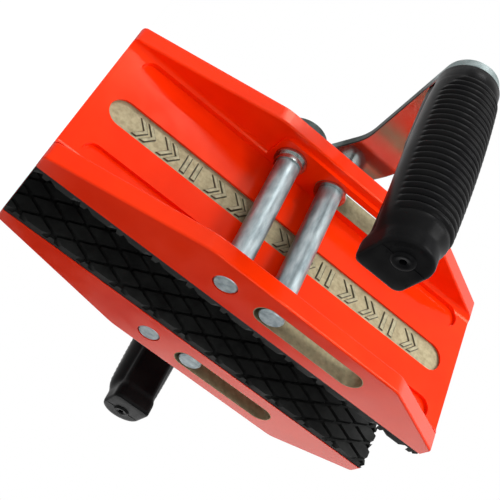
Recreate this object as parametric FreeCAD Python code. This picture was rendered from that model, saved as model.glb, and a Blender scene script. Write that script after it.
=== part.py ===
import FreeCAD, Part
import math
import os

# Two-handed carry clamp for stone slabs and plates.
# Two cast jaws hang on a pair of crossed arms. Lifting the handles swings the
# arms up, which slides one pin of each jaw along its slot and draws the rubber
# faced jaws together.
# Frame: +Z up along the jaws, jaw A on +X, jaw B on -X, arms on the -Y side.
# The clamp stands on the lower ends of its jaws, fully open.

V = FreeCAD.Vector

# ---- Jaw castings (mm) ----
JAW_LENGTH = 220.0
JAW_WIDTH = 91.0
FACE_THICKNESS = 6.0
FLANGE_HEIGHT = 29.0          # from the rubber side of the casting
FLANGE_THICKNESS = 9.0
FLANGE_DRAFT = 1.0            # how much thicker the flange is at its root
LOW_END_HEIGHT = 9.2          # flange height at the lower end, where the taper starts
TAPER_LENGTH = 75.0           # from the lower end up to full flange height
TOP_CHAMFER_LENGTH = 41.0
TOP_END_HEIGHT = 7.5
PROFILE_END_RADIUS = 3.0
PROFILE_BEND_RADIUS = 22.0
ROOT_RADIUS = 4.0
BOSS_THICKNESS = 1.5          # flat boss round the pins, inside each flange
BOSS_SPARE = 2.0
BOSS_CORNER = 5.0
EDGE_RADIUS = 1.0
OPEN_GAP = 46.0               # between the two castings when fully open

# ---- Recesses in the outer face of a jaw ----
PANEL_WIDTH = 14.6
PANEL_DEPTH = 1.5
PANEL_END_MARGIN = 9.0
POCKET_WIDTH = 12.0
POCKET_DEPTH = 2.0
POCKET_LOW_MARGIN = 10.0
POCKET_TOP_MARGIN = 7.5

# ---- Rubber pads ----
PAD_THICKNESS = 4.8
PAD_INSET = 0.3
PAD_CLOSED_GAP = 0.6

# ---- Cross pins ----
PIN_RADIUS = 6.0
PIN_FACE_GAP = 2.5            # pin to the face of the casting
PIN_HEIGHT = 91.0             # fixed pin above the lower end
PIN_RUNNING = 0.05            # radial clearance of a turning pin
SLOT_RUNNING = 0.3            # radial clearance of a sliding pin
SLOT_START_SPARE = 1.7        # slot left over beyond the fully open position
SLOT_END_SPARE = 2.0          # and beyond the closed position
FIXED_PIN_SINK = 0.1
SLIDING_PIN_SINK = 0.1
PIN_CHAMFER = 0.8
SPIGOT_RADIUS = 5.0
SPIGOT_LENGTH_OUT = 3.6       # beyond the outer side of its arm
COLLAR_WALL = 1.0
COLLAR_WIDTH = 5.0
COLLAR_RIM_WALL = 2.2
COLLAR_RIM_WIDTH = 1.5
GUIDE_THICKNESS = 1.2         # washer of a sliding pin, inside the flange

# ---- Arms ----
ARM_WIDTH = 24.5
ARM_THICKNESS = 4.5
ARM_EDGE = 0.5
ARM_LENGTH_TO_BEND = 24.0     # from the sliding pin to the bend
HANDLE_REACH = 120.0          # handle axis from the middle, when open
HANDLE_HEIGHT = 119.8         # handle axis above the lower end, when open
ARM_BEND_RADIUS = 30.0

# ---- Washers, spacers, rings ----
BODY_GAP = 0.3                # between faces that slide over each other
WASHER_THICKNESS = 1.0
WASHER_WALL = 4.0
SPACER_WALL = 4.25
SPACER_ARM_GAP = 1.45          # spacer to the edge of the other arm, when open
MID_WASHER_THICKNESS = 0.8
RING_WALL = 2.6
RING_THICKNESS = 1.2
RING_OFFSET = 0.6             # from the arm, so that the spigot carries a groove
RING_OPENING = 4.0

# ---- Centre pivot ----
PIVOT_RADIUS = 5.0
PIVOT_HEAD_RADIUS = 8.0
PIVOT_HEAD_DEPTH = 2.6
PIVOT_NUT_FLATS = 15.0
PIVOT_NUT_THICKNESS = 6.0
PIVOT_WASHER_WALL = 4.0
PIVOT_WASHER_THICKNESS = 1.2
THREAD_OUT = 1.5              # thread showing beyond a nut

# ---- Handles ----
BAR_RADIUS = 9.0
BAR_SCREW_RADIUS = 5.0
BAR_SCREW_DEPTH = 16.0        # thread inside the bar
BAR_SCREW_HEAD_RADIUS = 8.6
BAR_SCREW_HEAD_DEPTH = 3.6
GRIP_RADIUS = 15.0
GRIP_LENGTH = 99.0            # from the near side of its arm to the free end
GRIP_ARM_GAP = 0.5
GRIP_CAP_THICKNESS = 5.0
GRIP_CAP_WIDTH = 29.0
GRIP_CAP_DEPTH = 31.0
GRIP_CAP_CORNER = 5.0
GRIP_CAP_ROUND = 13.0
GRIP_HOLE_RADIUS = 2.6
HUB_RADIUS = 6.0
HUB_HEIGHT = 0.8

# ---- Worked out from the values above ----
HALF_WIDTH = JAW_WIDTH / 2
HALF_GAP = OPEN_GAP / 2
PIN_OFFSET = FACE_THICKNESS + PIN_FACE_GAP + PIN_RADIUS
PIN_X = HALF_GAP + PIN_OFFSET
SPACER_RADIUS = PIN_RADIUS + SPACER_WALL
COLLAR_RADIUS = PIN_RADIUS + COLLAR_WALL
RIM_RADIUS = PIN_RADIUS + COLLAR_RIM_WALL

# The sliding pin stops just far enough from the fixed pin for the spacer of
# one arm to pass the edge of the other arm.
pin_span = 2 * PIN_X
arm_offset = ARM_WIDTH / 2 + SPACER_RADIUS + SPACER_ARM_GAP
PIN_PITCH = arm_offset * pin_span / math.sqrt(pin_span**2 - arm_offset**2)
ARM_PIN_DISTANCE = math.hypot(pin_span, PIN_PITCH)
OPEN_ANGLE = math.atan2(PIN_PITCH, pin_span)

closed_gap = 2 * PAD_THICKNESS + PAD_CLOSED_GAP
closed_span = closed_gap + 2 * PIN_OFFSET
CLOSED_ANGLE = math.acos(closed_span / ARM_PIN_DISTANCE)
SLIDE_TRAVEL = math.sqrt(ARM_PIN_DISTANCE**2 - closed_span**2) - PIN_PITCH
SLIDE_HEIGHT = PIN_HEIGHT + PIN_PITCH
CENTRE_HEIGHT = PIN_HEIGHT + PIN_PITCH / 2

# Layers on the arm side, counted outwards along -Y.
INNER_ARM_NEAR = -(HALF_WIDTH + BODY_GAP + WASHER_THICKNESS)
INNER_ARM_FAR = INNER_ARM_NEAR - ARM_THICKNESS
OUTER_ARM_NEAR = INNER_ARM_FAR - MID_WASHER_THICKNESS - BODY_GAP
OUTER_ARM_FAR = OUTER_ARM_NEAR - ARM_THICKNESS

pivot_out = BODY_GAP + PIVOT_WASHER_THICKNESS + PIVOT_NUT_THICKNESS + THREAD_OUT
Y_LOW = OUTER_ARM_FAR - pivot_out
Y_HIGH = INNER_ARM_NEAR + GRIP_LENGTH + HUB_HEIGHT
Y_SHIFT = -(Y_LOW + Y_HIGH) / 2


def save(name, shape):
    """Writes one sub-part, moved so that the origin is under the middle."""
    placed = shape.copy()
    placed.translate(V(0, Y_SHIFT, 0))
    placed.exportStep(os.path.join("parts", name + ".step"))


def mirrored(shape):
    """The same piece on the other jaw, which is a mirror image."""
    return shape.mirror(V(0, 0, 0), V(1, 0, 0))


def rod(radius, y_from, y_to, x, z):
    """A cylinder along Y."""
    low = min(y_from, y_to)
    return Part.makeCylinder(radius, abs(y_to - y_from), V(x, low, z), V(0, 1, 0))


def cone(radius_low, radius_high, y_from, y_to, x, z):
    """A cone along +Y from y_from to y_to."""
    return Part.makeCone(radius_low, radius_high, y_to - y_from, V(x, y_from, z), V(0, 1, 0))


def ring(outer, inner, y_from, y_to, x, z):
    return rod(outer, y_from, y_to, x, z).cut(rod(inner, y_from - 1, y_to + 1, x, z))


def rounded_face(corners, radii):
    """A flat face whose corners are arcs; a radius of 0 leaves a corner sharp."""
    count = len(corners)
    starts = []
    ends = []
    middles = []
    for i in range(count):
        corner = corners[i]
        back = (corners[i - 1] - corner).normalize()
        ahead = (corners[(i + 1) % count] - corner).normalize()
        half = math.acos(max(-1.0, min(1.0, back.dot(ahead)))) / 2
        reach = radii[i] / math.tan(half)
        starts.append(corner + back * reach)
        ends.append(corner + ahead * reach)
        towards = (back + ahead).normalize()
        middles.append(corner + towards * (radii[i] / math.sin(half) - radii[i]))
    edges = []
    for i in range(count):
        if radii[i] > 0:
            edges.append(Part.Arc(starts[i], middles[i], ends[i]).toShape())
        following = starts[(i + 1) % count]
        if (following - ends[i]).Length > 1e-6:
            edges.append(Part.LineSegment(ends[i], following).toShape())
    return Part.Face(Part.Wire(edges))


def nut(flats, thickness, bore, y_near, x, z):
    """A hexagon nut whose near face is at y_near, reaching towards -Y."""
    corner = flats / math.sqrt(3)
    points = []
    for i in range(6):
        turn = math.radians(60 * i + 30)
        points.append(V(x + corner * math.cos(turn), y_near, z + corner * math.sin(turn)))
    body = rounded_face(points, [0] * 6).extrude(V(0, -thickness, 0))
    dome = cone(corner * 0.9, corner * 1.35, y_near - thickness, y_near, x, z)
    return body.common(dome).cut(rod(bore, y_near + 1, y_near - thickness - 1, x, z))


def stadium(width, depth, y, z_low, z_high, x_floor):
    """A long round-ended cutter that stands on x_floor and opens outwards."""
    half = width / 2
    corners = [V(x_floor, y - half, z_low), V(x_floor, y + half, z_low),
               V(x_floor, y + half, z_high), V(x_floor, y - half, z_high)]
    return rounded_face(corners, [half] * 4).extrude(V(depth, 0, 0))


# ---- Jaw castings ----
# A channel section run along Z, trimmed to the side profile of its flanges.
def channel_section(root_radius):
    top = HALF_GAP + FLANGE_HEIGHT
    face = HALF_GAP + FACE_THICKNESS
    inner_top = HALF_WIDTH - FLANGE_THICKNESS
    inner_root = inner_top - FLANGE_DRAFT
    corners = [V(HALF_GAP, -HALF_WIDTH, 0), V(top, -HALF_WIDTH, 0), V(top, -inner_top, 0),
               V(face, -inner_root, 0), V(face, inner_root, 0), V(top, inner_top, 0),
               V(top, HALF_WIDTH, 0), V(HALF_GAP, HALF_WIDTH, 0)]
    radii = [0, 0, 0, root_radius, root_radius, 0, 0, 0]
    return rounded_face(corners, radii).extrude(V(0, 0, JAW_LENGTH))


def side_profile():
    y = -HALF_WIDTH
    corners = [V(HALF_GAP, y, 0), V(HALF_GAP + LOW_END_HEIGHT, y, 0),
               V(HALF_GAP + FLANGE_HEIGHT, y, TAPER_LENGTH),
               V(HALF_GAP + FLANGE_HEIGHT, y, JAW_LENGTH - TOP_CHAMFER_LENGTH),
               V(HALF_GAP + TOP_END_HEIGHT, y, JAW_LENGTH), V(HALF_GAP, y, JAW_LENGTH)]
    radii = [0, PROFILE_END_RADIUS, PROFILE_BEND_RADIUS, PROFILE_BEND_RADIUS / 2,
             PROFILE_END_RADIUS, 0]
    return rounded_face(corners, radii).extrude(V(0, JAW_WIDTH, 0))


def pin_slot():
    radius = PIN_RADIUS + SLOT_RUNNING
    low = SLIDE_HEIGHT - SLOT_START_SPARE - radius
    high = SLIDE_HEIGHT + SLIDE_TRAVEL + SLOT_END_SPARE + radius
    y = -HALF_WIDTH - 1
    corners = [V(PIN_X - radius, y, low), V(PIN_X + radius, y, low),
               V(PIN_X + radius, y, high), V(PIN_X - radius, y, high)]
    return rounded_face(corners, [radius] * 4).extrude(V(0, JAW_WIDTH + 2, 0))


def is_rim(edge):
    """True on the outline of a flange, on its outer or its inner side."""
    box = edge.BoundBox
    outer = box.YLength < 1e-4 and abs(abs(box.YMin) - HALF_WIDTH) < 1e-4
    between = abs(box.YMin) < HALF_WIDTH - 1 and abs(box.YMax) < HALF_WIDTH - 1
    if outer:
        return box.XMax > HALF_GAP + EDGE_RADIUS
    return between and box.XMax > HALF_GAP + FACE_THICKNESS + EDGE_RADIUS / 2


def root_fillets(profile):
    """What is added where the flanges meet the face."""
    strips = channel_section(ROOT_RADIUS).cut(channel_section(0))
    return strips.common(profile)


def flange_inside():
    """Inner side of the arm side flange, along Y."""
    return -(HALF_WIDTH - FLANGE_THICKNESS - FLANGE_DRAFT - BOSS_THICKNESS)


def flange_boss():
    """Flat thickening of a flange round its pin hole and its slot, arm side."""
    reach = RIM_RADIUS + BOSS_SPARE
    y = -HALF_WIDTH + FLANGE_THICKNESS / 2
    face = HALF_GAP + FACE_THICKNESS
    low = PIN_HEIGHT - reach
    high = SLIDE_HEIGHT + SLIDE_TRAVEL + reach
    corners = [V(face, y, low), V(PIN_X + reach, y, low), V(PIN_X + reach, y, high),
               V(face, y, high)]
    outline = rounded_face(corners, [0, BOSS_CORNER, BOSS_CORNER, 0])
    return outline.extrude(V(0, flange_inside() - y, 0))


def milled_track():
    """Milled flat inside the flange, where the collar sits and the guide washer slides."""
    radius = RIM_RADIUS + BODY_GAP
    y = flange_inside()
    corners = [V(PIN_X - radius, y, PIN_HEIGHT - radius), V(PIN_X + radius, y, PIN_HEIGHT - radius),
               V(PIN_X + radius, y, SLIDE_HEIGHT + SLIDE_TRAVEL + radius),
               V(PIN_X - radius, y, SLIDE_HEIGHT + SLIDE_TRAVEL + radius)]
    depth = COLLAR_WIDTH + 2 * BODY_GAP
    return rounded_face(corners, [radius] * 4).extrude(V(0, depth, 0))


def jaw_casting():
    profile = side_profile()
    body = channel_section(0).common(profile)
    body = body.makeFillet(EDGE_RADIUS, [e for e in body.Edges if is_rim(e)])
    boss = flange_boss()
    other_boss = boss.mirror(V(0, 0, 0), V(0, 1, 0))
    body = body.fuse(root_fillets(profile)).fuse(boss).fuse(other_boss).removeSplitter()
    face = HALF_GAP + FACE_THICKNESS
    panel_low = PANEL_END_MARGIN
    panel_high = JAW_LENGTH - PANEL_END_MARGIN
    cutters = [stadium(PANEL_WIDTH, FLANGE_HEIGHT, 0, panel_low, panel_high, face - PANEL_DEPTH)]
    inner_root = HALF_WIDTH - FLANGE_THICKNESS - FLANGE_DRAFT
    pocket_y = inner_root - BOSS_THICKNESS - POCKET_WIDTH / 2
    for side in (-1, 1):
        cutters.append(stadium(POCKET_WIDTH, FLANGE_HEIGHT, side * pocket_y, POCKET_LOW_MARGIN,
                               JAW_LENGTH - POCKET_TOP_MARGIN, face - POCKET_DEPTH))
    cutters.append(rod(PIN_RADIUS + PIN_RUNNING, -HALF_WIDTH - 1, HALF_WIDTH + 1, PIN_X, PIN_HEIGHT))
    cutters.append(pin_slot())
    cutters.append(milled_track())
    for cutter in cutters:
        body = body.cut(cutter)
    return body


def jaw_pad():
    length = JAW_LENGTH - 2 * PAD_INSET
    width = JAW_WIDTH - 2 * PAD_INSET
    corner = V(HALF_GAP - PAD_THICKNESS, -width / 2, PAD_INSET)
    return Part.makeBox(PAD_THICKNESS, width, length, corner)


# ---- Cross pins ----
# The plain length runs through both flanges; a thinner spigot carries the arm.
def cross_pin(z, near_end, arm_near, arm_far):
    body = rod(PIN_RADIUS, arm_near, near_end - PIN_CHAMFER, PIN_X, z)
    tip = cone(PIN_RADIUS, PIN_RADIUS - PIN_CHAMFER, near_end - PIN_CHAMFER, near_end, PIN_X, z)
    spigot = rod(SPIGOT_RADIUS, arm_far - SPIGOT_LENGTH_OUT, arm_near, PIN_X, z)
    groove_from = arm_far - RING_OFFSET
    groove = ring(SPIGOT_RADIUS + 1, SPIGOT_RADIUS - RING_THICKNESS / 2,
                  groove_from - RING_THICKNESS, groove_from, PIN_X, z)
    return body.fuse(tip).fuse(spigot).cut(groove).removeSplitter()


def retaining_ring(z, arm_far):
    """An open snap ring in the groove of a spigot."""
    inner = SPIGOT_RADIUS - RING_THICKNESS / 2
    far = arm_far - RING_OFFSET - RING_THICKNESS
    body = ring(inner + RING_WALL, inner, far, far + RING_THICKNESS, PIN_X, z)
    gap = Part.makeBox(RING_OPENING, RING_THICKNESS + 2, inner + RING_WALL + 1,
                       V(PIN_X - RING_OPENING / 2, far - 1, z))
    return body.cut(gap)


def pin_collar():
    """The rimmed ring that keeps a fixed pin from drawing out, inside the flange."""
    far = flange_inside() + BODY_GAP
    sleeve = ring(COLLAR_RADIUS, PIN_RADIUS, far, far + COLLAR_WIDTH, PIN_X, PIN_HEIGHT)
    rim = ring(RIM_RADIUS, PIN_RADIUS, far, far + COLLAR_RIM_WIDTH, PIN_X, PIN_HEIGHT)
    return sleeve.fuse(rim).removeSplitter()


def guide_washer():
    """The washer that keeps a sliding pin square in its slot, inside the flange."""
    far = flange_inside() + BODY_GAP
    return ring(RIM_RADIUS, PIN_RADIUS, far, far + GUIDE_THICKNESS, PIN_X, SLIDE_HEIGHT)


def arm_washer(z):
    """Thin washer between a flange and the inner arm."""
    return ring(PIN_RADIUS + WASHER_WALL, PIN_RADIUS, INNER_ARM_NEAR,
                INNER_ARM_NEAR + WASHER_THICKNESS, PIN_X, z)


def arm_spacer(z):
    """Thick spacer between a flange and the outer arm."""
    return ring(SPACER_RADIUS, PIN_RADIUS, OUTER_ARM_NEAR, -HALF_WIDTH - BODY_GAP, PIN_X, z)


# ---- Arms ----
# Flat steel, straight through both pins, then bent in its own plane so that
# it points level at the handle. Drawn for the arm whose handle is on +X.
def arm_outline(y):
    along = V(math.cos(OPEN_ANGLE), 0, math.sin(OPEN_ANGLE))
    first = V(-PIN_X, y, PIN_HEIGHT)
    bend = first + along * (ARM_PIN_DISTANCE + ARM_LENGTH_TO_BEND)
    last = V(HANDLE_REACH, y, HANDLE_HEIGHT)
    onward = (last - bend).normalize()
    half = ARM_WIDTH / 2
    side = V(-along.z, 0, along.x)
    side_on = V(-onward.z, 0, onward.x)
    mitre = (side + side_on).normalize()
    reach = half / mitre.dot(side)
    corners = [first - along * half - side * half, bend - mitre * reach,
               last + onward * half - side_on * half, last + onward * half + side_on * half,
               bend + mitre * reach, first - along * half + side * half]
    radii = [half, ARM_BEND_RADIUS, half, half, ARM_BEND_RADIUS + ARM_WIDTH, half]
    return rounded_face(corners, radii)


def bar_screw_head(arm_far):
    return cone(BAR_SCREW_HEAD_RADIUS, BAR_SCREW_RADIUS, arm_far,
                arm_far + BAR_SCREW_HEAD_DEPTH, HANDLE_REACH, HANDLE_HEIGHT)


def arm(near, far, middle_hole):
    blank = arm_outline(near).extrude(V(0, far - near, 0))
    rim = [e for e in blank.Edges if abs(e.BoundBox.YLength) < 1e-6]
    body = blank.makeChamfer(ARM_EDGE, rim)
    holes = [rod(SPIGOT_RADIUS, near + 1, far - 1, -PIN_X, PIN_HEIGHT),
             rod(SPIGOT_RADIUS, near + 1, far - 1, PIN_X, SLIDE_HEIGHT),
             rod(BAR_SCREW_RADIUS, near + 1, far - 1, HANDLE_REACH, HANDLE_HEIGHT),
             bar_screw_head(far),
             rod(middle_hole, near + 1, far - 1, 0, CENTRE_HEIGHT)]
    for hole in holes:
        body = body.cut(hole)
    return body


# ---- Centre pivot: countersunk screw, washers and lock nut ----
def pivot_head():
    return cone(PIVOT_RADIUS, PIVOT_HEAD_RADIUS, INNER_ARM_NEAR - PIVOT_HEAD_DEPTH,
                INNER_ARM_NEAR, 0, CENTRE_HEIGHT)


def pivot_screw():
    far = (OUTER_ARM_FAR - BODY_GAP - PIVOT_WASHER_THICKNESS - PIVOT_NUT_THICKNESS - THREAD_OUT)
    shank = rod(PIVOT_RADIUS, far, INNER_ARM_NEAR - PIVOT_HEAD_DEPTH, 0, CENTRE_HEIGHT)
    socket = nut(5.0, 1.8, 0.01, INNER_ARM_NEAR, 0, CENTRE_HEIGHT)
    return shank.fuse(pivot_head()).cut(socket).removeSplitter()


def pivot_washer():
    near = OUTER_ARM_FAR - BODY_GAP
    return ring(PIVOT_RADIUS + PIVOT_WASHER_WALL, PIVOT_RADIUS, near - PIVOT_WASHER_THICKNESS,
                near, 0, CENTRE_HEIGHT)


def middle_washer():
    return ring(PIVOT_RADIUS + PIVOT_WASHER_WALL, PIVOT_RADIUS,
                INNER_ARM_FAR - MID_WASHER_THICKNESS, INNER_ARM_FAR, 0, CENTRE_HEIGHT)


# ---- Handles ----
def handle_bar(arm_near):
    end = arm_near + GRIP_LENGTH - GRIP_CAP_THICKNESS
    bar = rod(BAR_RADIUS, arm_near, end - PIN_CHAMFER, HANDLE_REACH, HANDLE_HEIGHT)
    tip = cone(BAR_RADIUS, BAR_RADIUS - PIN_CHAMFER, end - PIN_CHAMFER, end,
               HANDLE_REACH, HANDLE_HEIGHT)
    thread = rod(BAR_SCREW_RADIUS, arm_near - 1, arm_near + BAR_SCREW_DEPTH,
                 HANDLE_REACH, HANDLE_HEIGHT)
    return bar.fuse(tip).cut(thread).removeSplitter()


def bar_screw(arm_near, arm_far):
    """Countersunk screw, flush with the arm, that holds the handle bar."""
    shank = rod(BAR_SCREW_RADIUS, arm_far + BAR_SCREW_HEAD_DEPTH,
                arm_near + BAR_SCREW_DEPTH - 1, HANDLE_REACH, HANDLE_HEIGHT)
    socket = nut(6.0, 2.2, 0.01, arm_far + 2.2, HANDLE_REACH, HANDLE_HEIGHT)
    return shank.fuse(bar_screw_head(arm_far)).cut(socket).removeSplitter()


def grip(arm_near):
    """Moulded grip: round tube, squarer cap at the free end, hole in its hub."""
    low = arm_near + GRIP_ARM_GAP
    cap_low = arm_near + GRIP_LENGTH - GRIP_CAP_THICKNESS
    tube = rod(GRIP_RADIUS, low, cap_low, HANDLE_REACH, HANDLE_HEIGHT)
    inner = HANDLE_REACH - GRIP_CAP_DEPTH / 2
    outer = HANDLE_REACH + GRIP_CAP_DEPTH / 2
    half = GRIP_CAP_WIDTH / 2
    corners = [V(inner, cap_low, HANDLE_HEIGHT - half), V(outer, cap_low, HANDLE_HEIGHT - half),
               V(outer, cap_low, HANDLE_HEIGHT + half), V(inner, cap_low, HANDLE_HEIGHT + half)]
    radii = [GRIP_CAP_CORNER, GRIP_CAP_ROUND, GRIP_CAP_ROUND, GRIP_CAP_CORNER]
    cap = rounded_face(corners, radii).extrude(V(0, GRIP_CAP_THICKNESS, 0))
    hub_top = arm_near + GRIP_LENGTH + HUB_HEIGHT
    hub = rod(HUB_RADIUS, cap_low, hub_top, HANDLE_REACH, HANDLE_HEIGHT)
    body = tube.fuse(cap).fuse(hub)
    bore = rod(BAR_RADIUS, low - 1, cap_low, HANDLE_REACH, HANDLE_HEIGHT)
    hole = rod(GRIP_HOLE_RADIUS, cap_low - 1, hub_top + 1, HANDLE_REACH, HANDLE_HEIGHT)
    return body.cut(bore).cut(hole).removeSplitter()


# ---- Assembly ----
os.makedirs("parts", exist_ok=True)

casting = jaw_casting()
pad = jaw_pad()
save("jaw_a_casting", casting)
save("jaw_b_casting", mirrored(casting))
save("jaw_a_pad", pad)
save("jaw_b_pad", mirrored(pad))

# Arm 1 is the outer one: its handle is over jaw A, its fixed pin is in jaw B.
arm_1 = arm(OUTER_ARM_NEAR, OUTER_ARM_FAR, PIVOT_RADIUS + PIN_RUNNING)
save("arm_1", arm_1)
arm_2 = arm(INNER_ARM_NEAR, INNER_ARM_FAR, PIVOT_RADIUS)
save("arm_2", mirrored(arm_2).cut(pivot_head()))

fixed_near = HALF_WIDTH - FIXED_PIN_SINK
sliding_near = HALF_WIDTH - SLIDING_PIN_SINK
save("fixed_pin_a", cross_pin(PIN_HEIGHT, fixed_near, INNER_ARM_NEAR, INNER_ARM_FAR))
save("fixed_pin_b", mirrored(cross_pin(PIN_HEIGHT, fixed_near, OUTER_ARM_NEAR, OUTER_ARM_FAR)))
save("sliding_pin_a", cross_pin(SLIDE_HEIGHT, sliding_near, OUTER_ARM_NEAR, OUTER_ARM_FAR))
save("sliding_pin_b",
     mirrored(cross_pin(SLIDE_HEIGHT, sliding_near, INNER_ARM_NEAR, INNER_ARM_FAR)))

save("fixed_pin_a_collar", pin_collar())
save("fixed_pin_b_collar", mirrored(pin_collar()))
save("sliding_pin_a_guide", guide_washer())
save("sliding_pin_b_guide", mirrored(guide_washer()))
save("fixed_pin_a_washer", arm_washer(PIN_HEIGHT))
save("sliding_pin_b_washer", mirrored(arm_washer(SLIDE_HEIGHT)))
save("sliding_pin_a_spacer", arm_spacer(SLIDE_HEIGHT))
save("fixed_pin_b_spacer", mirrored(arm_spacer(PIN_HEIGHT)))
save("fixed_pin_a_ring", retaining_ring(PIN_HEIGHT, INNER_ARM_FAR))
save("fixed_pin_b_ring", mirrored(retaining_ring(PIN_HEIGHT, OUTER_ARM_FAR)))
save("sliding_pin_a_ring", retaining_ring(SLIDE_HEIGHT, OUTER_ARM_FAR))
save("sliding_pin_b_ring", mirrored(retaining_ring(SLIDE_HEIGHT, INNER_ARM_FAR)))

save("pivot_screw", pivot_screw())
save("pivot_middle_washer", middle_washer())
save("pivot_washer", pivot_washer())
save("pivot_nut", nut(PIVOT_NUT_FLATS, PIVOT_NUT_THICKNESS, PIVOT_RADIUS,
                      OUTER_ARM_FAR - BODY_GAP - PIVOT_WASHER_THICKNESS, 0, CENTRE_HEIGHT))

save("handle_bar_a", handle_bar(OUTER_ARM_NEAR))
save("handle_bar_b", mirrored(handle_bar(INNER_ARM_NEAR)))
save("grip_a", grip(OUTER_ARM_NEAR))
save("grip_b", mirrored(grip(INNER_ARM_NEAR)))
save("bar_screw_a", bar_screw(OUTER_ARM_NEAR, OUTER_ARM_FAR))
save("bar_screw_b", mirrored(bar_screw(INNER_ARM_NEAR, INNER_ARM_FAR)))

print("pin x, fixed z, sliding z", PIN_X, PIN_HEIGHT, SLIDE_HEIGHT)
print("centre z", CENTRE_HEIGHT, "y shift", Y_SHIFT)
print("lift range, degrees", math.degrees(CLOSED_ANGLE - OPEN_ANGLE))
print("slide travel", SLIDE_TRAVEL, "arm layers", INNER_ARM_NEAR, OUTER_ARM_NEAR, OUTER_ARM_FAR)
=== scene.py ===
import bmesh
import bpy
import random
from math import atan2, cos, hypot, pi, radians, sin, sqrt
from mathutils import Matrix, Quaternion, Vector


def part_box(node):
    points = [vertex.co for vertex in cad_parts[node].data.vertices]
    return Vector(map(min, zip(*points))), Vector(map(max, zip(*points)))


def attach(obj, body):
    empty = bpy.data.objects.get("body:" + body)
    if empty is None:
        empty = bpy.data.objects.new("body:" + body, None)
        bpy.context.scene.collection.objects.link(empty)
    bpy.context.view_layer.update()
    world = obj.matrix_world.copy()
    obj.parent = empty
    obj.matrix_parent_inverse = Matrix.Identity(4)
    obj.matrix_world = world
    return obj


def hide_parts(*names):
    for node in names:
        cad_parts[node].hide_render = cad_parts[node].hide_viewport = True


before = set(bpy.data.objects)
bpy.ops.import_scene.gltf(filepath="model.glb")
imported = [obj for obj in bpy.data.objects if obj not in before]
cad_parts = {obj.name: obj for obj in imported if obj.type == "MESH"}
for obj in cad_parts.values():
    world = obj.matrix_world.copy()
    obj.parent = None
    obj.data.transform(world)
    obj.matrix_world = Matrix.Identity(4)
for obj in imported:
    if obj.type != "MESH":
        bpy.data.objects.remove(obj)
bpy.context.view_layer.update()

# The camera. It stands low in front of the fixed pins' riveted ends, close to
# the ground, and is rolled so that the clamp lies across the view.
camera_data = bpy.data.cameras.new("camera")
camera_data.lens = 61.3
camera_data.clip_start = 0.01
camera = bpy.data.objects.new("camera", camera_data)
bpy.context.collection.objects.link(camera)
bpy.context.scene.camera = camera
camera.location = (0.3275, 0.24415, 0.0015)
aim_point = Vector((0.0394, 0.03075, 0.0930))
camera_roll = Quaternion((0, 0, 1), radians(127.94))
level_view = (aim_point - camera.location).to_track_quat("-Z", "Y")
camera.rotation_euler = (level_view @ camera_roll).to_euler()


# The studio. A plain pale floor that fades into white surroundings, broad soft
# lamps before, behind and above the clamp, two small lamps for its edges, and a
# dark card that only the glossy finishes show.
def put_in_scene(name, form, material):
    """Turns a finished form into an object with one material."""
    mesh = bpy.data.meshes.new(name)
    form.to_mesh(mesh)
    form.free()
    mesh.materials.append(material)
    made = bpy.data.objects.new(name, mesh)
    bpy.context.collection.objects.link(made)
    return made


def feed(tree, socket, value):
    """Links a socket to another node's output, or gives it a plain value."""
    if isinstance(value, bpy.types.NodeSocket):
        tree.links.new(value, socket)
    else:
        socket.default_value = value


def math_node(tree, operation, *values):
    """The result of one sum on numbers or other nodes' outputs."""
    node = tree.nodes.new("ShaderNodeMath")
    node.operation = operation
    for socket, value in zip(node.inputs, values):
        feed(tree, socket, value)
    return node.outputs[0]


def ramp(tree, value, start, stop, low, high, kind="LINEAR"):
    """Goes from low to high while the value goes from start to stop."""
    node = tree.nodes.new("ShaderNodeMapRange")
    node.interpolation_type = kind
    settings = (("Value", value), ("From Min", start), ("From Max", stop),
                ("To Min", low), ("To Max", high))
    for name, setting in settings:
        feed(tree, node.inputs[name], setting)
    return node.outputs[0]


floor_size = 3.0
floor_paint = bpy.data.materials.new("pale_floor")
floor_paint.use_nodes = True
tree = floor_paint.node_tree
floor_shader = tree.nodes["Principled BSDF"]
floor_shader.inputs["Base Color"].default_value = (0.6, 0.6, 0.6, 1)
floor_shader.inputs["Roughness"].default_value = 0.9
floor_shader.inputs["Specular IOR Level"].default_value = 0.1
floor_path = tree.nodes.new("ShaderNodeLightPath")
floor_seen = math_node(tree, "MAXIMUM", floor_path.outputs["Is Camera Ray"],
                       floor_path.outputs["Is Glossy Ray"])
floor_distance = tree.nodes.new("ShaderNodeVectorMath")
floor_distance.operation = "LENGTH"
floor_place = tree.nodes.new("ShaderNodeTexCoord")
tree.links.new(floor_place.outputs["Object"], floor_distance.inputs[0])
floor_fade = ramp(tree, floor_distance.outputs["Value"], 0.4, 1.4, 0.5, 1.0, "SMOOTHSTEP")
floor_glow = tree.nodes.new("ShaderNodeEmission")
floor_glow.inputs["Color"].default_value = (1, 1, 1, 1)
feed(tree, floor_glow.inputs["Strength"], math_node(tree, "MULTIPLY", floor_seen, floor_fade))
floor_sum = tree.nodes.new("ShaderNodeAddShader")
tree.links.new(floor_shader.outputs[0], floor_sum.inputs[0])
tree.links.new(floor_glow.outputs[0], floor_sum.inputs[1])
tree.links.new(floor_sum.outputs[0], tree.nodes["Material Output"].inputs["Surface"])
form = bmesh.new()
bmesh.ops.create_grid(form, x_segments=4, y_segments=4, size=floor_size)
put_in_scene("floor", form, floor_paint)

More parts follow.
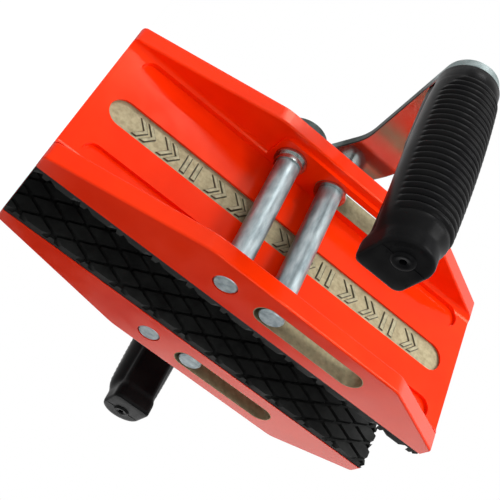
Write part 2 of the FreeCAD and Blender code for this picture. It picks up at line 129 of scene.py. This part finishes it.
world = bpy.data.worlds.new("studio")
bpy.context.scene.world = world
world.use_nodes = True
tree = world.node_tree
backdrop = tree.nodes["Background"]
backdrop.inputs["Color"].default_value = (1, 1, 1, 1)
world_path = tree.nodes.new("ShaderNodeLightPath")
world_seen = math_node(tree, "MAXIMUM", world_path.outputs["Is Camera Ray"],
                       world_path.outputs["Is Glossy Ray"])
world_seen = math_node(tree, "MAXIMUM", world_seen, world_path.outputs["Is Transmission Ray"])
feed(tree, backdrop.inputs["Strength"], ramp(tree, world_seen, 0.0, 1.0, 0.25, 1.0))

card_length = 0.95
card_width = 0.7
card_drop = 0.31
card_along = Vector((0.57, 0.20, 0.797)).normalized()
card_down = Vector((0.664, 0.46, -0.589)).normalized()
card_middle = Vector((-0.828, 0.538, 0.369)) + card_down * card_drop
card_turn = Matrix((card_along * card_length, card_down * card_width,
                    card_along.cross(card_down))).transposed()
card_paper = bpy.data.materials.new("black_paper")
card_paper.use_nodes = True
card_shader = card_paper.node_tree.nodes["Principled BSDF"]
card_shader.inputs["Base Color"].default_value = (0.02, 0.02, 0.02, 1)
form = bmesh.new()
bmesh.ops.create_grid(form, x_segments=1, y_segments=1, size=0.5,
                      matrix=Matrix.Translation(card_middle) @ card_turn.to_4x4())
card = put_in_scene("dark_card", form, card_paper)
card.visible_camera = False
card.visible_diffuse = False
card.visible_shadow = False

lamps = (
    ("front_softbox", (1.05, -0.12, 0.75), 0.7, 15.0, 0),
    ("rear_softbox", (-1.05, 0.27, 0.66), 0.95, 3.8, 29),
    ("low_lamp", (0.72, -0.86, 0.15), 0.28, 3.2, 0),
    ("edge_lamp", (0.74, 1.01, 0.47), 0.3, 2.2, 0),
    ("top_softbox", (0.35, -0.30, 1.30), 1.0, 2.5, 0),
)
lamps_aim = Vector((0, 0, 0.1))
for lamp_name, lamp_place, size, power, turn in lamps:
    lamp_data = bpy.data.lights.new(lamp_name, "AREA")
    lamp_data.shape = "SQUARE"
    lamp_data.size = size
    lamp_data.energy = power
    lamp = bpy.data.objects.new(lamp_name, lamp_data)
    lamp.location = lamp_place
    towards = (lamps_aim - lamp.location).to_track_quat("-Z", "Y")
    lamp.rotation_euler = (towards @ Quaternion((0, 0, 1), radians(turn))).to_euler()
    bpy.context.collection.objects.link(lamp)


# The two jaw castings. Cast iron, powder coated in a glossy orange, with the
# slots and the sunk panel left as bare brassy metal. The CAD shape is kept.
def new_finish(name, metallic, specular):
    """A Principled material; gives its tree, its shader and its object coordinates."""
    material = bpy.data.materials.new(name)
    material.use_nodes = True
    tree = material.node_tree
    shader = tree.nodes["Principled BSDF"]
    shader.inputs["Metallic"].default_value = metallic
    shader.inputs["Specular IOR Level"].default_value = specular
    place = tree.nodes.new("ShaderNodeTexCoord").outputs["Object"]
    return material, tree, shader, place


def by_axis(tree, place):
    """The X, Y and Z of a point, as three outputs."""
    split = tree.nodes.new("ShaderNodeSeparateXYZ")
    tree.links.new(place, split.inputs[0])
    return split.outputs["X"], split.outputs["Y"], split.outputs["Z"]


def off_centre(tree, value, centre):
    """How far a value lies from a centre, on either side."""
    return math_node(tree, "ABSOLUTE", math_node(tree, "SUBTRACT", value, centre))


def noise(tree, place, scale, detail=3.0, stretch=(1, 1, 1)):
    """Noise of a given scale, drawn out along an axis whose stretch is small."""
    mapping = tree.nodes.new("ShaderNodeMapping")
    mapping.inputs["Scale"].default_value = stretch
    texture = tree.nodes.new("ShaderNodeTexNoise")
    texture.inputs["Scale"].default_value = scale
    texture.inputs["Detail"].default_value = detail
    tree.links.new(place, mapping.inputs["Vector"])
    tree.links.new(mapping.outputs[0], texture.inputs["Vector"])
    return texture.outputs["Fac"]


def between(tree, value, low, high):
    """A noise, spread out about its middle, as a value from low to high."""
    return ramp(tree, value, 0.3, 0.7, low, high)


def mixed(tree, factor, first, second):
    """A colour that goes from first to second with a factor."""
    mix = tree.nodes.new("ShaderNodeMix")
    mix.data_type = "RGBA"
    for name, value in (("Factor", factor), ("A", first), ("B", second)):
        feed(tree, mix.inputs[name], value)
    return mix.outputs["Result"]


def tint(tree, value, first, second):
    """A colour that goes from first to second with a noise."""
    return mixed(tree, between(tree, value, 0.0, 1.0), (*first, 1), (*second, 1))


def roughen(tree, shader, value, depth, strength):
    """Surface relief of the given depth in metres."""
    bump = tree.nodes.new("ShaderNodeBump")
    bump.inputs["Strength"].default_value = strength
    bump.inputs["Distance"].default_value = depth
    tree.links.new(value, bump.inputs["Height"])
    tree.links.new(bump.outputs[0], shader.inputs["Normal"])


def refinish(material, *node_names):
    """Gives CAD nodes a better material."""
    for node_name in node_names:
        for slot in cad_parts[node_name].material_slots:
            slot.material = material


def long_hole(tree, across, along, half_width, low_end, high_end, lip):
    """1 inside a round-ended outline grown by a lip, 0 outside it."""
    middle = (low_end + high_end) / 2
    straight = (high_end - low_end) / 2 - half_width
    past = math_node(tree, "SUBTRACT", off_centre(tree, along, middle), straight)
    past = math_node(tree, "MAXIMUM", past, 0.0)
    squares = math_node(tree, "ADD", math_node(tree, "MULTIPLY", past, past),
                        math_node(tree, "MULTIPLY", across, across))
    return math_node(tree, "LESS_THAN", math_node(tree, "SQRT", squares), half_width + lip)


def bare_metal(tree, place):
    """Colour of the uncoated metal, with the fine grain of the casting sand."""
    brass_dark, brass_light = (0.20, 0.18, 0.11), (0.31, 0.285, 0.18)
    return tint(tree, noise(tree, place, 420.0, 5.0), brass_dark, brass_light)


mm = 0.001
low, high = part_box("jaw_a_casting")
jaw_middle_y = (low.y + high.y) / 2
jaw_length = high.z - low.z
half_gap = low.x
face_thickness = 6.0 * mm
panel_depth = 1.5 * mm
panel_level = half_gap + face_thickness - panel_depth
panel_half_width = 7.3 * mm
panel_end_margin = 9.0 * mm
panel_lip = 0.06 * mm
panel_reach = 0.3 * mm
slot_low = 108.2 * mm
slot_high = 168.2 * mm
slot_half_width = 6.3 * mm
slot_lip = 0.35 * mm
pin_low, pin_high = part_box("sliding_pin_a")
pin_x = (pin_low.x + pin_high.x) / 2

coat, tree, shader, place = new_finish("powder_coat_orange", 0.0, 0.45)
shader.inputs["Specular Tint"].default_value = (1.0, 0.35, 0.2, 1)
x, y, z = by_axis(tree, place)
from_middle = math_node(tree, "ABSOLUTE", x)
slot_mask = long_hole(tree, math_node(tree, "SUBTRACT", from_middle, pin_x), z,
                      slot_half_width, slot_low, slot_high, slot_lip)
panel_mask = long_hole(tree, math_node(tree, "SUBTRACT", y, jaw_middle_y), z,
                       panel_half_width, panel_end_margin, jaw_length - panel_end_margin,
                       panel_lip)
at_panel = math_node(tree, "COMPARE", from_middle, panel_level, panel_reach)
panel_mask = math_node(tree, "MULTIPLY", panel_mask, at_panel)
bare_mask = math_node(tree, "MAXIMUM", slot_mask, panel_mask)
orange = tint(tree, noise(tree, place, 45.0), (0.86, 0.023, 0.0005), (0.93, 0.031, 0.001))
coat_gloss = between(tree, noise(tree, place, 90.0), 0.13, 0.2)
feed(tree, shader.inputs["Base Color"],
     mixed(tree, bare_mask, orange, bare_metal(tree, place)))
feed(tree, shader.inputs["Metallic"], math_node(tree, "MULTIPLY", bare_mask, 0.55))
feed(tree, shader.inputs["Roughness"], ramp(tree, bare_mask, 0.0, 1.0, coat_gloss, 0.5))
roughen(tree, shader, noise(tree, place, 260.0), 0.04 * mm, 0.4)
refinish(coat, "jaw_a_casting", "jaw_b_casting")

# The raised marks in the sunk panels. Cast in one with the jaw and left bare:
# plain arrow heads and bars that point up the jaw.
mark_height = 0.75 * mm
mark_stroke = 3.0 * mm
mark_width = 10.4 * mm
mark_pitch = 13.6 * mm
mark_count = 13
first_mark = 27.0 * mm
arrow_rise = 4.2 * mm
arrow_places = (-2.6 * mm, 1.7 * mm)
bar_places = (-2.9 * mm, 2.9 * mm)
base_rise = 0.05 * mm
foot_width = 0.45 * mm
foot_rise = 0.12 * mm
mark_slope = 0.12 * mm
mark_rounding = 0.22 * mm
foot_shade_up_to = 0.42 * mm

brass, tree, shader, place = new_finish("bare_cast_metal", 0.5, 0.5)
from_middle = math_node(tree, "ABSOLUTE", by_axis(tree, place)[0])
# The foot of each mark, up to a small height above the panel floor, is painted dark: painted
# shade in the crease round it.
is_raised = math_node(tree, "GREATER_THAN", from_middle, panel_level + foot_shade_up_to)
foot_painted_shade = tint(tree, noise(tree, place, 500.0), (0.030, 0.026, 0.016), (0.070, 0.062, 0.040))
feed(tree, shader.inputs["Base Color"],
     mixed(tree, is_raised, foot_painted_shade, bare_metal(tree, place)))
feed(tree, shader.inputs["Roughness"], between(tree, noise(tree, place, 300.0), 0.42, 0.58))
roughen(tree, shader, noise(tree, place, 700.0, 4.0), 0.08 * mm, 0.5)

for jaw, side in (("jaw_a", 1), ("jaw_b", -1)):
    form = bmesh.new()
    for i in range(mark_count):
        is_bar = i % 3 == 2
        rise = 0.0 if is_bar else arrow_rise
        for stroke_place in bar_places if is_bar else arrow_places:
            stroke_z = first_mark + i * mark_pitch + stroke_place
            to_panel = Matrix(((0, 0, side, side * panel_level),
                               (mark_width, 0, 0, jaw_middle_y),
                               (0, mark_stroke, 0, stroke_z), (0, 0, 0, 1)))
            stroke = bmesh.ops.create_grid(form, x_segments=2, y_segments=1, size=0.5,
                                           matrix=to_panel)
            for vertex in stroke["verts"]:
                if abs(vertex.co.y - jaw_middle_y) < mark_width / 4:
                    vertex.co.z += rise
    bmesh.ops.recalc_face_normals(form, faces=form.faces)
    for f in form.faces:
        if f.normal.x * side < 0:
            f.normal_flip()
    raised = bmesh.ops.extrude_face_region(form, geom=form.faces[:])["geom"]
    tops = [g for g in raised if isinstance(g, bmesh.types.BMFace)]
    lifted = [g for g in raised if isinstance(g, bmesh.types.BMVert)]
    bmesh.ops.translate(form, verts=lifted, vec=(side * base_rise, 0, 0))
    for step, level in ((foot_width, foot_rise), (mark_slope, mark_height)):
        bmesh.ops.inset_region(form, faces=tops, thickness=step, depth=0)
        lifted = list(set(v for f in tops for v in f.verts))
        moved = side * (panel_level + level) - lifted[0].co.x
        bmesh.ops.translate(form, verts=lifted, vec=(moved, 0, 0))
    top_set = set(tops)
    rims = [e for f in tops for e in f.edges if any(g not in top_set for g in e.link_faces)]
    bmesh.ops.bevel(form, geom=rims, offset=mark_rounding, segments=2, profile=0.5,
                    affect="EDGES", material=-1)
    bmesh.ops.recalc_face_normals(form, faces=form.faces)
    marks = put_in_scene(jaw + "_marks", form, brass)
    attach(marks, jaw)

# The rubber pads. Black moulded rubber sheet with a tread of lozenge blocks,
# cut to the size of the jaw and glued to its flat side.
sheet_thickness = 2.0 * mm
lozenge_length = 19.0 * mm
lozenge_width = 10.0 * mm
groove_width = 2.0 * mm
wall_slope = 0.35 * mm
block_rounding = 0.9 * mm
tread_start = Vector((0, 49.75 * mm, 6.3 * mm))
rows_each_way = 32
cut_depth = 1.6 * mm
low_end_share = 0.3
on_plane = 1e-7
at_end = 1e-5
cut_random = random.Random(7)

rubber, tree, shader, place = new_finish("tread_rubber", 0.0, 0.06)
feed(tree, shader.inputs["Base Color"],
     tint(tree, noise(tree, place, 130.0, 6.0), (0.011, 0.011, 0.011), (0.024, 0.025, 0.024)))
feed(tree, shader.inputs["Roughness"], between(tree, noise(tree, place, 60.0), 0.45, 0.7))
roughen(tree, shader, noise(tree, place, 900.0, 5.0), 0.15 * mm, 0.6)

for jaw, side in (("jaw_a", -1), ("jaw_b", 1)):
    low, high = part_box(jaw + "_pad")
    glued = high.x if side < 0 else low.x
    tread = (high.x - low.x) - sheet_thickness
    size = high - low + 2 * Vector((0, lozenge_width, lozenge_length))
    middle = (low + high) / 2
    middle.x = glued + side * sheet_thickness / 2
    form = bmesh.new()
    bmesh.ops.create_cube(form, size=1.0, matrix=Matrix.Translation(middle)
                          @ Matrix.Diagonal((sheet_thickness, size.y, size.z, 1)))
    row_step = lozenge_length * lozenge_width / hypot(lozenge_length, lozenge_width)
    for lean in (-1, 1):
        across = Vector((0, lozenge_length, lean * lozenge_width)).normalized()
        for i in range(-rows_each_way, rows_each_way + 1):
            front = [f for f in form.faces if f.normal.x * side > 0.9]
            parts = set(front)
            for f in front:
                parts.update(f.edges)
                parts.update(f.verts)
            bmesh.ops.bisect_plane(form, geom=list(parts), dist=on_plane,
                                   plane_co=tread_start + across * row_step * i,
                                   plane_no=across)
    blocks = [f for f in form.faces if f.normal.x * side > 0.9 and len(f.verts) == 4]
    bmesh.ops.inset_individual(form, faces=blocks, thickness=groove_width / 2)
    bmesh.ops.inset_individual(form, faces=blocks, thickness=wall_slope, depth=tread)
    top_edges = set(e for f in blocks for e in f.edges)
    corners = [e for f in blocks for v in f.verts for e in v.link_edges if e not in top_edges]
    bmesh.ops.bevel(form, geom=list(set(corners)), offset=block_rounding, segments=2,
                    profile=0.5, affect="EDGES", material=-1)
    pad_sides = (((0, 1, 0), high), ((0, -1, 0), low), ((0, 0, 1), high), ((0, 0, -1), low))
    for outward, at in pad_sides:
        everything = form.verts[:] + form.edges[:] + form.faces[:]
        cut = bmesh.ops.bisect_plane(form, geom=everything, dist=on_plane, plane_co=at,
                                     plane_no=outward, clear_outer=True)
        open_edges = [g for g in cut["geom_cut"] if isinstance(g, bmesh.types.BMEdge)]
        bmesh.ops.holes_fill(form, edges=open_edges, sides=0)
    for vertex in form.verts:
        is_top = high.z - vertex.co.z < at_end
        if is_top or vertex.co.z - low.z < at_end:
            inward = -1 if is_top else low_end_share
            vertex.co.z += inward * cut_depth * cut_random.random()
    bmesh.ops.recalc_face_normals(form, faces=form.faces)
    pad = put_in_scene(jaw + "_tread_pad", form, rubber)
    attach(pad, jaw)
    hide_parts(jaw + "_pad")

# The cross pins. Bright drawn steel bar with a satin zinc plating: one pin of
# each jaw turns in its holes, the other slides along the slots.
zinc, tree, shader, place = new_finish("zinc_plated_bar", 1.0, 0.5)
streaks = noise(tree, place, 330.0, 5.0, (1, 0.3, 1))
feed(tree, shader.inputs["Base Color"],
     tint(tree, streaks, (0.17, 0.21, 0.225), (0.38, 0.435, 0.45)))
feed(tree, shader.inputs["Roughness"], between(tree, noise(tree, place, 150.0, 5.0), 0.36, 0.5))
roughen(tree, shader, streaks, 0.05 * mm, 0.6)
refinish(zinc, "fixed_pin_a", "fixed_pin_b", "sliding_pin_a", "sliding_pin_b")

# Collars, guide washers, spacers and washers. Turned and stamped steel, zinc
# plated, slid on to the pins inside and outside the flanges.
turned, tree, shader, place = new_finish("zinc_plated_small_parts", 1.0, 0.5)
spots = noise(tree, place, 140.0, 2.0)
feed(tree, shader.inputs["Base Color"],
     tint(tree, spots, (0.36, 0.385, 0.38), (0.44, 0.46, 0.45)))
feed(tree, shader.inputs["Roughness"], between(tree, spots, 0.2, 0.27))
roughen(tree, shader, noise(tree, place, 900.0, 2.0), 0.008 * mm, 0.3)
refinish(turned, "fixed_pin_a_collar", "fixed_pin_b_collar", "sliding_pin_a_guide",
         "sliding_pin_b_guide", "fixed_pin_a_washer", "sliding_pin_b_washer",
         "sliding_pin_a_spacer", "fixed_pin_b_spacer", "pivot_middle_washer",
         "pivot_washer")

# The crossed arms. Flat steel bent in its own plane, zinc plated and polished by
# handling, with faint lines along it. Its cut edges get painted reflections: painted
# shade over the bend, a lighter painted reflection towards both ends.
bend_x = 76.0 * mm
edge_shade_reach = 27.0 * mm
edge_reflection_from = 37.0 * mm
edge_skin = 0.05 * mm
for arm in ("arm_1", "arm_2"):
    low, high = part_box(arm)
    plate, tree, shader, place = new_finish("zinc_plated_flat_steel_" + arm, 1.0, 0.5)
    x, y = by_axis(tree, place)[:2]
    from_centre = off_centre(tree, y, (low.y + high.y) / 2)
    cut_edge = math_node(tree, "LESS_THAN", from_centre, (high.y - low.y) / 2 - edge_skin)
    # The cut edges are painted dark as shade over the bend and lighter as a painted reflection
    # towards both ends.
    from_bend = off_centre(tree, math_node(tree, "ABSOLUTE", x), bend_x)
    end_reflection_share = ramp(tree, from_bend, edge_shade_reach, edge_reflection_from, 0.0, 1.0)
    rolled = noise(tree, place, 150.0, 3.0, (0.1, 1, 0.4))
    flat_colour = tint(tree, rolled, (0.40, 0.42, 0.42), (0.47, 0.485, 0.48))
    grain = noise(tree, place, 300.0)
    edge_painted_reflection = mixed(tree, end_reflection_share,
                        tint(tree, grain, (0.028, 0.036, 0.034), (0.06, 0.072, 0.068)),
                        tint(tree, grain, (0.15, 0.185, 0.185), (0.25, 0.29, 0.29)))
    flat_gloss = between(tree, noise(tree, place, 60.0, 2.0), 0.15, 0.24)
    feed(tree, shader.inputs["Base Color"], mixed(tree, cut_edge, flat_colour, edge_painted_reflection))
    feed(tree, shader.inputs["Roughness"], ramp(tree, cut_edge, 0.0, 1.0, flat_gloss, 0.55))
    roughen(tree, shader, rolled, 0.015 * mm, 0.4)
    refinish(plate, arm)

# Snap rings. Blued spring steel, sprung into the groove of each pin's end, behind
# the arm that the pin carries.
spring, tree, shader, place = new_finish("blued_spring_steel", 1.0, 0.5)
feed(tree, shader.inputs["Base Color"],
     tint(tree, noise(tree, place, 300.0, 4.0), (0.05, 0.052, 0.06), (0.12, 0.125, 0.14)))
feed(tree, shader.inputs["Roughness"], between(tree, noise(tree, place, 200.0), 0.28, 0.45))
refinish(spring, "fixed_pin_a_ring", "fixed_pin_b_ring", "sliding_pin_a_ring",
         "sliding_pin_b_ring")

# The centre pivot and the handle bars. A countersunk screw and a lock nut join
# the arms; each bar is held against its arm by a flush countersunk screw.
bolt, tree, shader, place = new_finish("zinc_plated_fasteners", 1.0, 0.5)
grain = noise(tree, place, 420.0, 4.0)
feed(tree, shader.inputs["Base Color"],
     tint(tree, grain, (0.28, 0.28, 0.265), (0.44, 0.44, 0.42)))
feed(tree, shader.inputs["Roughness"], between(tree, grain, 0.22, 0.38))
roughen(tree, shader, grain, 0.02 * mm, 0.5)
refinish(bolt, "pivot_screw", "pivot_nut", "bar_screw_a", "bar_screw_b")
refinish(zinc, "handle_bar_a", "handle_bar_b")

# The grips. Black moulded PVC pushed over the handle bars: ribbed round the
# outer side, smooth towards the jaw, with a squarer closed end.
bar_radius = 9.05 * mm
body_radius = 13.2 * mm
body_belly = 1.1 * mm
body_width_share = 0.855
body_fuller_share = 0.055
rib_count = 24
rib_height = 1.1 * mm
rib_steps = ((0.0, 0.0), (0.13, 0.45), (0.27, 0.86), (0.5, 1.0), (0.73, 0.86), (0.87, 0.45))
rib_lowest = -73.0
rib_highest = 100.0
rib_fade = 7.0
smooth_share = 0.55
arm_collar = 8.2 * mm
end_collar = 14.2 * mm
neck_start = 0.8 * mm
neck_length = 7.0 * mm
neck_steps = 6
neck_rise = 0.55 * mm
cap_half_width = 11.6 * mm
cap_reach = 16.4 * mm
cap_corner = 3.6 * mm
cap_thickness = 5.0 * mm
cap_dish = 0.1 * mm
hub_height = 0.8 * mm
hub_radius = 4.4 * mm
hole_radius = 1.5 * mm
seam_size = (0.3 * mm, 0.4 * mm, 5.6 * mm)
seam_from_axis = 7.5 * mm
around = 96
crease_angle = radians(50)
too_small = 1e-6

vinyl, tree, shader, place = new_finish("moulded_black_vinyl", 0.0, 0.035)
feed(tree, shader.inputs["Base Color"],
     tint(tree, noise(tree, place, 70.0, 4.0), (0.004, 0.004, 0.0045), (0.009, 0.009, 0.009)))
feed(tree, shader.inputs["Roughness"], between(tree, noise(tree, place, 110.0, 4.0), 0.26, 0.38))
roughen(tree, shader, noise(tree, place, 1100.0), 0.04 * mm, 0.5)


def clamped(value):
    """The value, kept between 0 and 1."""
    return min(max(value, 0.0), 1.0)


def cap_outline(angle):
    """Reach of the squarer end at an angle from the outer side, in metres."""
    if cos(angle) > 0:
        return cap_half_width
    c, s = abs(cos(angle)), max(abs(sin(angle)), too_small)
    flat = min(cap_half_width / s, cap_reach / max(c, too_small))
    corner = (cap_reach - cap_corner, cap_half_width - cap_corner)
    if flat * c < corner[0] or flat * s < corner[1]:
        return flat
    along = corner[0] * c + corner[1] * s
    return along + sqrt(max(along**2 - corner[0]**2 - corner[1]**2 + cap_corner**2, 0))


def body_outline(angle, share):
    """Reach of the ribbed length: round outside, squared off towards the jaw."""
    share = clamped(share)
    radius = body_radius + body_belly * sin(pi * share) ** 0.7
    fuller = clamped((0.46 - share) / 0.1)
    return max(radius, cap_outline(angle) * (body_width_share + body_fuller_share * fuller))


def ribbed(angle, share):
    """1 where the ribs are, 0 on the smooth side; the first ribs are shorter."""
    degrees = angle * 180 / pi
    lower_end = rib_lowest + 30.0 * max(1 - share / 0.12, 0.0)
    inside = min(degrees - lower_end, rib_highest - degrees)
    return clamped(inside / rib_fade)


def on_body(share, grow=0.0):
    """Outline of the body at a share of its length, grown by a width."""
    return lambda angle: body_outline(angle, share) + grow


def on_rib(share, rise):
    """Outline of the body at one of a rib's steps."""
    return lambda angle: (body_outline(angle, share) + rib_height
                          * (smooth_share + ribbed(angle, share) * (rise - smooth_share)))


def on_neck(ease):
    """Outline between the end of the ribs and the cap."""
    return lambda angle: ((body_outline(angle, 1) + neck_rise) * (1 - ease)
                          + cap_outline(angle) * ease)


def on_cap(shrink):
    """Outline of the cap, drawn in by a width."""
    return lambda angle: cap_outline(angle) - shrink


def ring(radius):
    """A round outline."""
    return lambda angle: radius


for letter, out in (("a", 1), ("b", -1)):
    low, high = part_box("grip_" + letter)
    bar_low, bar_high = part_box("handle_bar_" + letter)
    axis_x = (bar_low.x + bar_high.x) / 2
    axis_z = (bar_low.z + bar_high.z) / 2
    end = high.y - hub_height
    inner_end = end - cap_thickness
    ribs_from = low.y + arm_collar
    ribs_to = end - end_collar

    stations = [(low.y, on_body(0, -0.9 * mm)),
                (low.y + 0.3 * mm, on_body(0, -0.25 * mm)),
                (low.y + 1.0 * mm, on_body(0, 0.3 * mm)),
                (ribs_from - 1.2 * mm, on_body(0, 0.4 * mm))]
    for i in range(rib_count):
        for along, rise in rib_steps:
            share = (i + along) / rib_count
            stations.append((ribs_from + share * (ribs_to - ribs_from), on_rib(share, rise)))
    stations.append((ribs_to, on_rib(1, 0.0)))
    for i in range(1, neck_steps + 1):
        part = i / neck_steps
        ease = part * part * (3 - 2 * part)
        stations.append((ribs_to + neck_start + neck_length * part, on_neck(ease)))
    stations += [(end - 1.5 * mm, on_cap(0.0)),
                 (end - 0.5 * mm, on_cap(0.25 * mm)),
                 (end - 0.1 * mm, on_cap(0.8 * mm)),
                 (end, on_cap(1.6 * mm)),
                 (end - cap_dish, lambda angle: (cap_outline(angle) + hub_radius) / 2),
                 (end - cap_dish, ring(hub_radius + 0.5 * mm)),
                 (end + hub_height * 0.7, ring(hub_radius)),
                 (end + hub_height, ring(hub_radius - 0.4 * mm)),
                 (end + hub_height * 0.6, ring(hole_radius + 0.9 * mm)),
                 (end + hub_height * 0.3, ring(hole_radius)),
                 (inner_end, ring(hole_radius)),
                 (inner_end, ring(bar_radius)),
                 (low.y, ring(bar_radius))]

    form = bmesh.new()
    to_axis = Matrix.Translation((axis_x, low.y, axis_z)) @ Matrix.Rotation(radians(90), 4, "X")
    bmesh.ops.create_circle(form, cap_ends=False, segments=around, radius=bar_radius,
                            matrix=to_axis)
    rim = form.edges[:]
    for y, outline in stations:
        grown = bmesh.ops.extrude_edge_only(form, edges=rim)["geom"]
        rim = [g for g in grown if isinstance(g, bmesh.types.BMEdge)]
        for vertex in [g for g in grown if isinstance(g, bmesh.types.BMVert)]:
            dx, dz = vertex.co.x - axis_x, vertex.co.z - axis_z
            reach = outline(atan2(dz, dx * out)) / hypot(dx, dz)
            vertex.co = (axis_x + dx * reach, y, axis_z + dz * reach)
    bmesh.ops.remove_doubles(form, verts=form.verts, dist=too_small)
    for lean in (-1, 1):
        seam_middle = Vector((axis_x, end - cap_dish, axis_z + lean * seam_from_axis))
        bmesh.ops.create_cube(form, size=1.0, matrix=Matrix.Translation(seam_middle)
                              @ Matrix.Diagonal((*seam_size, 1)))
    bmesh.ops.recalc_face_normals(form, faces=form.faces)
    for f in form.faces:
        f.smooth = True
    for e in form.edges:
        e.smooth = e.calc_face_angle(0) < crease_angle
    grip = put_in_scene("ribbed_grip_" + letter, form, vinyl)
    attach(grip, "arm_1" if letter == "a" else "arm_2")
    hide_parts("grip_" + letter)

# The plain view setting that keeps the colours as they are mixed.
bpy.context.scene.view_settings.view_transform = "Standard"
